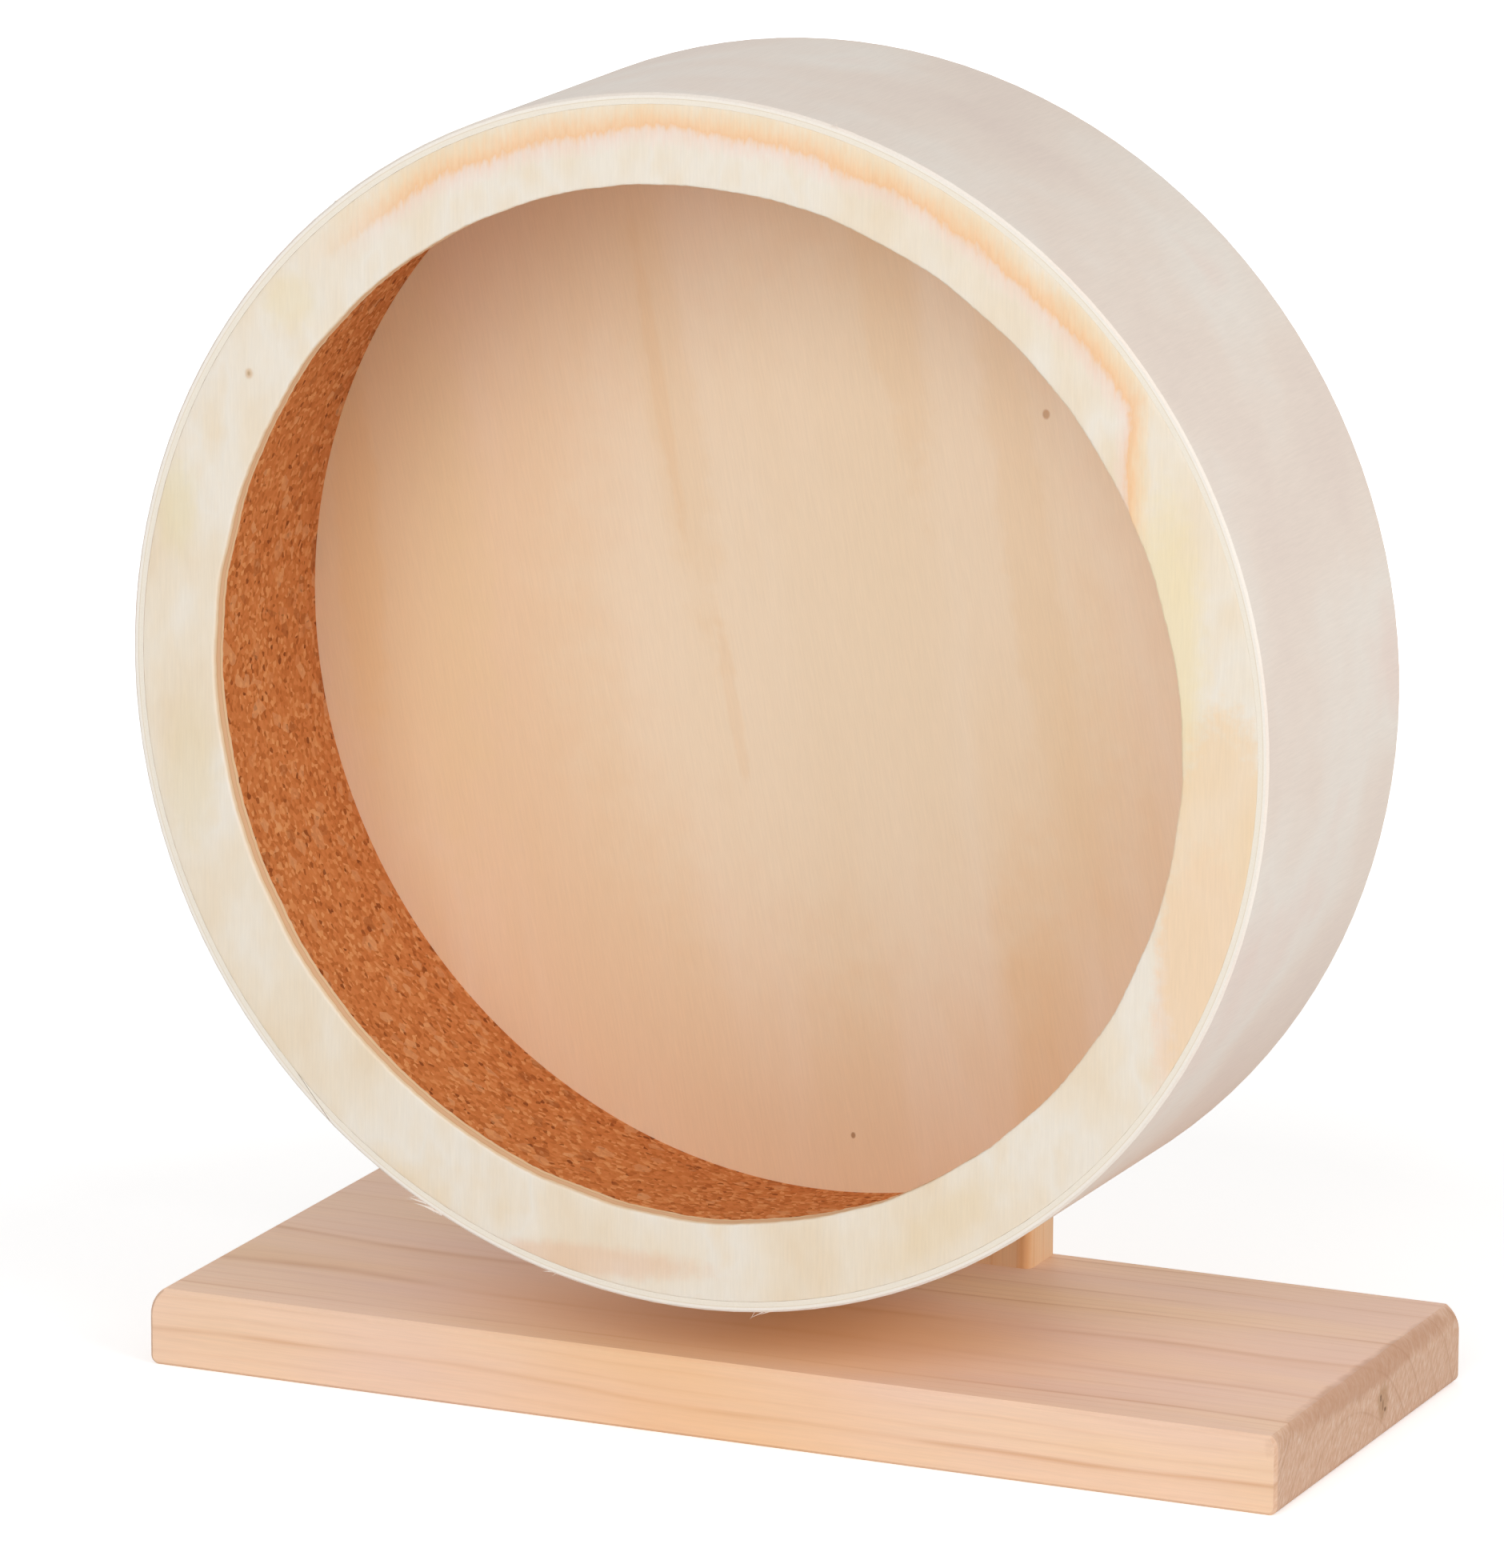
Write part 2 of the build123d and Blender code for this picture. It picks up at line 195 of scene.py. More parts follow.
def figure(tree, place, cloud_mm, detail, roughness=0.5):
    """Cloudy pattern, from 0 to 1, whose clouds have a size in millimetres along each axis."""
    drawn_out = add(tree, "ShaderNodeVectorMath", {
        0: place, 1: [1 / size for size in cloud_mm]}, operation="MULTIPLY")
    return add(tree, "ShaderNodeTexNoise", {
        "Vector": drawn_out.outputs[0], "Scale": 1.0, "Detail": detail,
        "Roughness": roughness}).outputs[0]


def facing_share(tree, axis, least, most):
    """How far the surface faces along an axis, from 0 at the least value to 1 at the most."""
    facing = add(tree, "ShaderNodeTexCoord")
    axes = add(tree, "ShaderNodeSeparateXYZ", {0: facing.outputs["Normal"]})
    steep = add(tree, "ShaderNodeMath", {0: axes.outputs[axis]}, operation="ABSOLUTE")
    return add(tree, "ShaderNodeMapRange", {
        "Value": steep.outputs[0], "From Min": least, "From Max": most}).outputs[0]


def mark(tree, place, colour, tint, amount, middle, half, turn=0.0, torn=(0.0, 5.0), soft=0.5):
    """Tints wood inside an ellipse, in millimetres, turned about the axle's direction. Its edge is
    broken by torn[0] of its size, in flecks of torn[1], and fades from soft of the way out."""
    moved = add(tree, "ShaderNodeVectorMath", {0: place, 1: [-m for m in middle]}, operation="ADD")
    turned = add(tree, "ShaderNodeVectorRotate", {
        "Vector": moved.outputs[0], "Angle": turn}, rotation_type="Y_AXIS")
    scaled = add(tree, "ShaderNodeVectorMath", {
        0: turned.outputs[0], 1: [1 / h for h in half]}, operation="MULTIPLY")
    far = add(tree, "ShaderNodeVectorMath", {0: scaled.outputs[0]}, operation="LENGTH")
    broken = add(tree, "ShaderNodeMath", {
        0: figure(tree, place, (torn[1], torn[1], torn[1]), 4.0, 0.6), 1: torn[0],
        2: -torn[0] / 2}, operation="MULTIPLY_ADD")
    level = add(tree, "ShaderNodeMath", {
        0: far.outputs["Value"], 1: broken.outputs[0]}, operation="ADD")
    share = add(tree, "ShaderNodeMapRange", {
        "Value": level.outputs[0], "From Min": soft, "From Max": 1.0,
        "To Min": amount, "To Max": 0.0}, interpolation_type="SMOOTHSTEP")
    return add(tree, "ShaderNodeMix", {
        0: share.outputs[0], 6: colour, 7: linear(tint)}, data_type="RGBA").outputs[2]


def solid_wood(name, along, pith, ring_width, shades, shift, marks=None):
    """Raw planed wood: growth rings about a pith line along the given axis, so that faces, edges
    and end grain agree. The eye gets a nearly matt, softly clouded surface with thin browner
    lines of latewood. Lengths are in millimetres, and shift moves the pattern along the grain."""
    material, tree = new_material(name)
    mm = millimetres(tree)
    # The wood's own frame, whose X runs along the grain.
    order = {"X": ("X", "Y", "Z"), "Z": ("Z", "X", "Y")}[along]
    split = add(tree, "ShaderNodeSeparateXYZ", {0: mm})
    grain = add(tree, "ShaderNodeCombineXYZ", {
        "X": split.outputs[order[0]], "Y": split.outputs[order[1]], "Z": split.outputs[order[2]]})
    moved = add(tree, "ShaderNodeVectorMath", {
        0: grain.outputs[0], 1: (shift, -pith[0], -pith[1])}, operation="ADD")
    # Rings wander a few millimetres over a hand's length.
    wander = figure(tree, moved.outputs[0], (170, 60, 60), 2.0, 0.4)
    wander_mm = 9.0
    off = add(tree, "ShaderNodeMath", {
        0: wander, 1: wander_mm, 2: -wander_mm / 2}, operation="MULTIPLY_ADD")
    across = add(tree, "ShaderNodeVectorMath", {
        0: moved.outputs[0], 1: (0, 1, 1)}, operation="MULTIPLY")
    radius = add(tree, "ShaderNodeVectorMath", {0: across.outputs[0]}, operation="LENGTH")
    grown = add(tree, "ShaderNodeMath", {0: radius.outputs["Value"], 1: off.outputs[0]}, operation="ADD")
    rings = add(tree, "ShaderNodeMath", {0: grown.outputs[0], 1: ring_width}, operation="DIVIDE")
    year = add(tree, "ShaderNodeMath", {0: rings.outputs[0]}, operation="FRACT")
    latewood = add(tree, "ShaderNodeValToRGB", {0: year.outputs[0]}, stops=[
        (0.0, 0.15), (0.05, 0.0), (0.66, 0.0), (0.90, 0.25), (0.955, 1.0), (1.0, 0.30)])
    # Weaker lines between them, a few to each year.
    lines_a_year = 3.7
    finer = add(tree, "ShaderNodeMath", {
        0: rings.outputs[0], 1: lines_a_year}, operation="MULTIPLY")
    finer_part = add(tree, "ShaderNodeMath", {0: finer.outputs[0]}, operation="FRACT")
    streak = add(tree, "ShaderNodeValToRGB", {0: finer_part.outputs[0]}, stops=[
        (0.0, 0.08), (0.12, 0.0), (0.70, 0.0), (0.90, 0.32), (1.0, 0.08)])
    drawn = add(tree, "ShaderNodeMath", {
        0: latewood.outputs[0], 1: streak.outputs[0]}, operation="MAXIMUM")
    # Lines fade in and out along the board.
    fade = figure(tree, moved.outputs[0], (55, 14, 14), 2.0)
    fade_share = add(tree, "ShaderNodeMapRange", {
        "Value": fade, "From Min": 0.35, "From Max": 0.65, "To Min": 0.12, "To Max": 0.52})
    line = add(tree, "ShaderNodeMath", {
        0: drawn.outputs[0], 1: fade_share.outputs[0]}, operation="MULTIPLY")
    # Fibres about half a millimetre wide, coarser than real ones so that they show, drawn out
    # along the grain, and slow clouds of colour.
    fibre = figure(tree, moved.outputs[0], (16, 0.45, 0.45), 3.0, 0.65)
    cloud = figure(tree, moved.outputs[0], (120, 30, 30), 3.0)
    early = add(tree, "ShaderNodeValToRGB", {0: cloud}, stops=[
        (0.34, shades["cool"]), (0.52, shades["early"]), (0.68, shades["warm"])])
    veined = add(tree, "ShaderNodeMix", {
        0: line.outputs[0], 6: early.outputs[0], 7: linear(shades["late"])}, data_type="RGBA")
    fibre_shade = add(tree, "ShaderNodeMapRange", {
        "Value": fibre, "From Min": 0.3, "From Max": 0.72, "To Min": 0.955, "To Max": 1.03})
    fibred = add(tree, "ShaderNodeMix", {
        0: 1.0, 6: veined.outputs[2], 7: fibre_shade.outputs[0]},
        data_type="RGBA", blend_type="MULTIPLY")
    # End grain: where the surface faces along the grain it soaks up light and shows pores. The
    # saw left slanting strokes, about 0.7 mm wide and three times as long.
    stroke_slant = 0.6
    slanted = add(tree, "ShaderNodeVectorRotate", {
        "Vector": moved.outputs[0], "Angle": stroke_slant}, rotation_type="X_AXIS")
    pore = figure(tree, slanted.outputs[0], (3, 0.7, 2.4), 4.0, 0.6)
    end_colour = add(tree, "ShaderNodeValToRGB", {0: pore}, stops=[
        (0.25, shades["end_dark"]), (0.50, shades["end"]), (0.75, shades["end_pale"])])
    end_rings = add(tree, "ShaderNodeMix", {
        0: line.outputs[0], 6: end_colour.outputs[0], 7: linear(shades["end_late"])}, data_type="RGBA")
    end_share = facing_share(tree, along, least=0.25, most=0.8)
    colour = add(tree, "ShaderNodeMix", {
        0: end_share, 6: fibred.outputs[2], 7: end_rings.outputs[2]}, data_type="RGBA").outputs[2]
    if marks:
        colour = marks(tree, mm, colour)
    height = add(tree, "ShaderNodeMath", {0: fibre, 1: pore}, operation="ADD")
    relief = add(tree, "ShaderNodeBump", {
        "Height": height.outputs[0], "Strength": 0.35, "Distance": 0.00006})
    surface = add(tree, "ShaderNodeBsdfPrincipled", {
        "Base Color": colour, "Roughness": 0.62, "IOR": 1.5,
        "Specular IOR Level": 0.25, "Normal": relief.outputs[0]})
    add(tree, "ShaderNodeOutputMaterial", {"Surface": surface.outputs[0]})
    return material


def dress(node, material):
    """Gives a CAD piece its finish."""
    for slot in nodes[node].material_slots:
        slot.material = material


base_end_mm = 1000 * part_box("base_board")[1].x


def base_marks_and_painted_bounce(tree, mm, colour):
    """Painted warm light across the middle, bounced from the wheel's orange wood into the shade on the
    board under it, and in the right end a small resin pocket, crusted dark.
    The rounded-over strip above it soaked up more light than the sawn end."""
    # Tint, its share, middle, half size, torn edge and how far out it starts to fade.
    for tint, share, middle, half, torn, soft in (
            # The first row is painted warm bounce light from the wheel, lying in the shade under it.
            ("#F3BC85", 0.75, (-4.0, -26.0, 18.0), (92.0, 52.0, 60.0), (0.3, 40.0), 0.2),
            ("#B0845C", 0.55, (base_end_mm, 8.0, 8.5), (6.0, 4.2, 5.2), (0.6, 1.5), 0.5),
            ("#6E4A2B", 0.75, (base_end_mm, 6.6, 9.6), (3.0, 0.6, 1.1), (0.9, 0.7), 0.5),
            ("#6E4A2B", 0.70, (base_end_mm, 9.4, 6.4), (3.0, 0.9, 0.6), (0.9, 0.7), 0.5),
            ("#83603E", 0.60, (base_end_mm, 7.9, 7.7), (3.0, 0.5, 1.8), (0.9, 0.9), 0.5),
            ("#C08F70", 0.60, (base_end_mm - 1.5, 0.0, 16.0), (3.6, 70.0, 4.4), (0.8, 5.0), 0.5)):
        colour = mark(tree, mm, colour, tint, share, middle, half, torn=torn, soft=soft)
    return colour


# Earlywood in three shades, latewood lines, and the same for the end grain.
base_shades = {
    "early": "#F5D1B5", "cool": "#F1CDB8", "warm": "#F6D1AD", "late": "#CB8C57",
    "end": "#DDB599", "end_dark": "#CDA182", "end_pale": "#E8CDB9", "end_late": "#BF9070",
}


def rounded_ends():
    """The board with its end roundings as sanded by hand: each starts at a crisp line on top, and
    the right one grows from front to rear. The copy's quarter round is drawn out to that form."""
    low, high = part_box("base_board")
    quarter = 0.007
    crisp = math.radians(57)
    right_side, left_side = 1, -1
    round_at_front = {right_side: 0.0036, left_side: 0.0078}
    round_at_rear = 0.0071
    sharp_from = math.radians(25)
    made = bmesh.new()
    made.from_mesh(nodes["base_board"].data)
    bmesh.ops.remove_doubles(made, verts=made.verts, dist=1e-6)
    slack = 1e-5
    for vertex in made.verts:
        side = right_side if vertex.co.x > 0 else left_side
        beyond = abs(vertex.co.x) - (high.x - quarter)
        above = vertex.co.z - (high.z - quarter)
        if beyond < -slack or above < -slack:
            continue
        turn = math.atan2(above, beyond)
        inset = quarter - math.hypot(above, beyond)
        along = (vertex.co.y - low.y) / (high.y - low.y)
        now = round_at_front[side] + (round_at_rear - round_at_front[side]) * along
        new_turn = turn * crisp / (math.pi / 2)
        reach = high.x - now * (1 - math.cos(new_turn)) - inset * math.cos(turn)
        vertex.co.x = side * reach
        vertex.co.z = high.z - now * (math.sin(crisp) - math.sin(new_turn)) - inset * math.sin(turn)
    mesh = bpy.data.meshes.new("base_plank")
    made.to_mesh(mesh)
    made.free()
    if "custom_normal" in mesh.attributes:
        mesh.attributes.remove(mesh.attributes["custom_normal"])
    mesh.shade_smooth()
    mesh.set_sharp_from_angle(angle=sharp_from)
    plank = bpy.data.objects.new("base_plank", mesh)
    bpy.context.scene.collection.objects.link(plank)
    return plank


plank = rounded_ends()
plank.data.materials.append(solid_wood(
    "planed pine base", along="X", pith=(-14.0, -25.0), ring_width=9.0, shades=base_shades,
    shift=40.0, marks=base_marks_and_painted_bounce))
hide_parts("base_board")
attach(plank, "stand")


# Upright board
# The same pine on end, its grain standing up, sawn to a round head about the axle and sanded. It
# is glued and dowelled to the base, and two long screws come up through the base into it.
upright_shades = {
    "early": "#F3CCA4", "cool": "#EBC4A2", "warm": "#F6C490", "late": "#DF9F64",
    "end": "#D9B08A", "end_dark": "#BD9068", "end_pale": "#E6CBAE", "end_late": "#A97950",
}


def upright_marks(tree, mm, colour):
    """A resin-rich stripe runs up the front, close to its right corner."""
    middle, half = (36.4, 41.0, 80.0), (1.9, 3.0, 400.0)
    return mark(tree, mm, colour, "#EBA968", 0.50, middle, half, torn=(0.5, 9.0))


dress("upright_board", solid_wood(
    "planed pine upright", along="Z", pith=(9.0, 14.0), ring_width=4.2, shades=upright_shades,
    shift=15.0, marks=upright_marks))
dowel_shades = {
    "early": "#D9B68A", "cool": "#D2AE84", "warm": "#DDBB8E", "late": "#C39A69",
    "end": "#CDA878", "end_dark": "#B08A5E", "end_pale": "#DCC09A", "end_late": "#A98257",
}
dress("upright_dowels", solid_wood(
    "turned beech dowel", along="Z", pith=(0.0, -40.0), ring_width=1.6, shades=dowel_shades,
    shift=0.0))


# Screws, washers and nuts
# Mild steel, bright zinc plated in a barrel: a soft blue-white metal with small cloudy spots, never
# mirror-like. They hold the boards together and clamp the axle through the upright.
def steel(name, shades, roughness, cloud_mm):
    """Steel, plated or bare. The eye gets a pale metal whose gloss and tone are slightly uneven."""
    material, tree = new_material(name)
    mm = millimetres(tree)
    cloud = figure(tree, mm, (cloud_mm, cloud_mm, cloud_mm), 5.0, 0.6)
    smoothest, roughest = 0.75 * roughness, 1.35 * roughness
    gloss = add(tree, "ShaderNodeMapRange", {
        "Value": cloud, "From Min": 0.3, "From Max": 0.7, "To Min": smoothest, "To Max": roughest})
    tone = add(tree, "ShaderNodeValToRGB", {0: cloud}, stops=[(0.3, shades[0]), (0.7, shades[1])])
    relief = add(tree, "ShaderNodeBump", {
        "Height": cloud, "Strength": 0.15, "Distance": 0.00003})
    surface = add(tree, "ShaderNodeBsdfPrincipled", {
        "Base Color": tone.outputs[0], "Metallic": 1.0, "Roughness": gloss.outputs[0],
        "Normal": relief.outputs[0]})
    add(tree, "ShaderNodeOutputMaterial", {"Surface": surface.outputs[0]})
    return material


zinc = steel("bright zinc plate", ("#B9BCC0", "#D3D5D8"), roughness=0.32, cloud_mm=1.6)
for node in ("upright_screws", "hub_screws", "axle_bolt", "spacer_sleeve", "race_shim", "jam_nut",
             "front_washer", "rear_washer", "cap_nut"):
    dress(node, zinc)


# Ball bearing
# Pressed into the back of the hub. Hardened and ground bearing steel, smoother than the plating,
# with pressed sheet shields and a moulded nylon crown cage.
ground_steel = steel(
    "ground bearing steel", ("#B4B5B8", "#CFCFD1"), roughness=0.18, cloud_mm=0.8)
for node in ("bearing_outer_race", "bearing_inner_race", "bearing_balls"):
    dress(node, ground_steel)
dress("bearing_shields", steel(
    "pressed shield steel", ("#A9AAAD", "#C3C4C6"), roughness=0.38, cloud_mm=1.0))


def moulded_nylon():
    """Natural nylon, injection moulded: a waxy ivory with a faint mould texture."""
    material, tree = new_material("natural nylon")
    mm = millimetres(tree)
    grain = figure(tree, mm, (0.25, 0.25, 0.25), 2.0)
    tone = add(tree, "ShaderNodeValToRGB", {0: grain}, stops=[(0.3, "#DDD3B4"), (0.7, "#E8DFC4")])
    relief = add(tree, "ShaderNodeBump", {
        "Height": grain, "Strength": 0.2, "Distance": 0.00002})
    surface = add(tree, "ShaderNodeBsdfPrincipled", {
        "Base Color": tone.outputs[0], "Roughness": 0.45, "IOR": 1.53, "Normal": relief.outputs[0]})
    add(tree, "ShaderNodeOutputMaterial", {"Surface": surface.outputs[0]})
    return material


dress("bearing_cage", moulded_nylon())


# Rim band
# Thin plywood bent round and scarf-lapped to a hoop, sanded, unfinished. Outside it is the palest
# wood on the wheel, mottled softly from cream to pinkish grey.
def ply_edge(tree, colour, depth, edge_share, layers):
    """Sawn edge of the plywood, coloured in layers from one face (0) to the other (1)."""
    plies = add(tree, "ShaderNodeValToRGB", {0: depth}, stops=layers)
    return add(tree, "ShaderNodeMix", {
        0: edge_share, 6: colour, 7: plies.outputs[0]}, data_type="RGBA").outputs[2]


def veneer(name, shades, fibre_mm, cloud_mm, tilt, overlays):
    """Rotary-cut plywood face. The eye gets slow clouds of colour and short fine fibres, matt, with
    pores too shallow to throw a shadow. tilt turns the grain about the axle's direction. Each
    overlay is a function that draws over the colour, such as stains or the sawn edge."""
    material, tree = new_material(name)
    mm = millimetres(tree)
    tilted = add(tree, "ShaderNodeVectorRotate", {
        "Vector": mm, "Angle": tilt}, rotation_type="Y_AXIS")
    cloud = figure(tree, tilted.outputs[0], cloud_mm, 4.0)
    colour = add(tree, "ShaderNodeValToRGB", {0: cloud}, stops=[
        (0.30, shades[0]), (0.44, shades[1]), (0.56, shades[2]), (0.70, shades[3])]).outputs[0]
    fibre = figure(tree, tilted.outputs[0], fibre_mm, 4.0, 0.7)
    fibre_shade = add(tree, "ShaderNodeMapRange", {
        "Value": fibre, "From Min": 0.3, "From Max": 0.7, "To Min": 0.965, "To Max": 1.025})
    for overlay in overlays:
        colour = overlay(tree, mm, colour)
    fibred = add(tree, "ShaderNodeMix", {
        0: 1.0, 6: colour, 7: fibre_shade.outputs[0]}, data_type="RGBA", blend_type="MULTIPLY")
    relief = add(tree, "ShaderNodeBump", {
        "Height": fibre, "Strength": 0.3, "Distance": 0.00005})
    surface = add(tree, "ShaderNodeBsdfPrincipled", {
        "Base Color": fibred.outputs[2], "Roughness": 0.6, "IOR": 1.5,
        "Specular IOR Level": 0.25, "Normal": relief.outputs[0]})
    add(tree, "ShaderNodeOutputMaterial", {"Surface": surface.outputs[0]})
    return material


band_shades = ("#E9D8CC", "#EEDFD2", "#F0E6DB", "#EFDACE")
band_outside_mm = 1000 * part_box("rim_band")[1].x
band_thickness_mm = 2.4
# Plies from the hoop's inside (0) to its outside (1).
band_layers = [
    (0.0, "#EEE5D6"), (0.44, "#EEE5D6"), (0.47, "#E2D3BB"), (0.50, "#E5D8C3"),
    (0.54, "#F1E9DE"), (1.0, "#F2EBE1")]


def band_edge(tree, mm, colour):
    """The hoop's two edges show its plies from the inside to the outside."""
    from_axle = add(tree, "ShaderNodeVectorMath", {
        0: mm, 1: (0, 0, -1000 * axle_height)}, operation="ADD")
    flat = add(tree, "ShaderNodeVectorMath", {
        0: from_axle.outputs[0], 1: (1, 0, 1)}, operation="MULTIPLY")
    radius = add(tree, "ShaderNodeVectorMath", {0: flat.outputs[0]}, operation="LENGTH")
    depth = add(tree, "ShaderNodeMapRange", {
        "Value": radius.outputs["Value"], "From Min": band_outside_mm - band_thickness_mm,
        "From Max": band_outside_mm})
    edge_share = facing_share(tree, "Y", least=0.6, most=0.95)
    return ply_edge(tree, colour, depth.outputs[0], edge_share, band_layers)


band_wood = veneer(
    "bent poplar plywood", band_shades, fibre_mm=(0.5, 9.0, 0.5), cloud_mm=(70, 60, 70), tilt=0.0,
    overlays=[band_edge])
dress("rim_band", band_wood)


# Torn fibres
# Where the hoop's front edge was trimmed across the grain a few slivers of the outer veneer tore
# loose. They still hang from the edge, pale, thin and tapering to nothing.
def sliver(made, angle, along, lift, width):
    """One torn fibre: its root inside the hoop's edge at an angle in degrees, its tip that far along
    the edge and away from it, three-sided, bowed a little and tapering to a point."""
    turn = math.radians(angle)
    outward = Vector((math.cos(turn), 0, math.sin(turn)))
    onward = Vector((-math.sin(turn), 0, math.cos(turn)))
    forward = Vector((0, -1, 0))
    band_low, band_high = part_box("rim_band")
    # The root is sunk into the wood, and the tip reaches forward. The bow is a share of the lift.
    buried = 0.0003
    reach = 0.0005
    bow = 0.25
    taper = 0.7
    steps = 7
    root = outward * (band_high.x - buried) + forward * -(band_low.y + buried)
    root.z += axle_height
    loops = []
    for k in range(steps):
        t = k / steps
        out = lift * t * t + bow * lift * math.sin(math.pi * t)
        middle = root + onward * along * t + outward * out + forward * reach * t
        half = width * (1 - t) ** taper
        # A three-sided section, a little flatter towards the wheel.
        corners = (outward * half, onward * -0.3 * half + forward * half, outward * -0.7 * half)
        loops.append([made.verts.new(middle + corner) for corner in corners])
    tip = made.verts.new(root + onward * along + outward * lift + forward * reach)
    made.faces.new(loops[0])
    for here, after in zip(loops, loops[1:]):
        for j in range(3):
            made.faces.new((here[j], here[(j + 1) % 3], after[(j + 1) % 3], after[j]))
    for j in range(3):
        made.faces.new((loops[-1][j], loops[-1][(j + 1) % 3], tip))


torn_fibres = bmesh.new()
# Angle in degrees, then length along the edge, lift off it and half width in metres.
for angle, along, lift, width in (
        (-116.2, -0.0062, 0.0008, 0.00045), (-117.2, -0.0048, 0.0014, 0.00030),
        (-118.1, -0.0040, 0.0010, 0.00034), (-118.8, -0.0030, 0.0019, 0.00016),
        (-119.3, -0.0016, 0.0013, 0.00014), (-117.6, 0.0018, 0.0009, 0.00012),
        (-104.0, -0.0022, 0.0006, 0.00020), (-103.6, -0.0007, 0.0009, 0.00012),
        (-82.0, -0.0036, 0.0014, 0.00013), (-83.0, -0.0012, 0.0017, 0.00010),
        (-81.4, -0.0026, 0.0006, 0.00018), (75.2, 0.0009, 0.0016, 0.00012),
        (75.9, -0.0016, 0.0007, 0.00014), (128.5, 0.0018, 0.0005, 0.00013)):
    sliver(torn_fibres, angle, along, lift, width)
bmesh.ops.recalc_face_normals(torn_fibres, faces=torn_fibres.faces)
fibre_mesh = bpy.data.meshes.new("torn_fibres")
torn_fibres.to_mesh(fibre_mesh)
torn_fibres.free()
fibres = bpy.data.objects.new("torn_fibres", fibre_mesh)
bpy.context.scene.collection.objects.link(fibres)
fibre_mesh.materials.append(band_wood)
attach(fibres, "wheel")


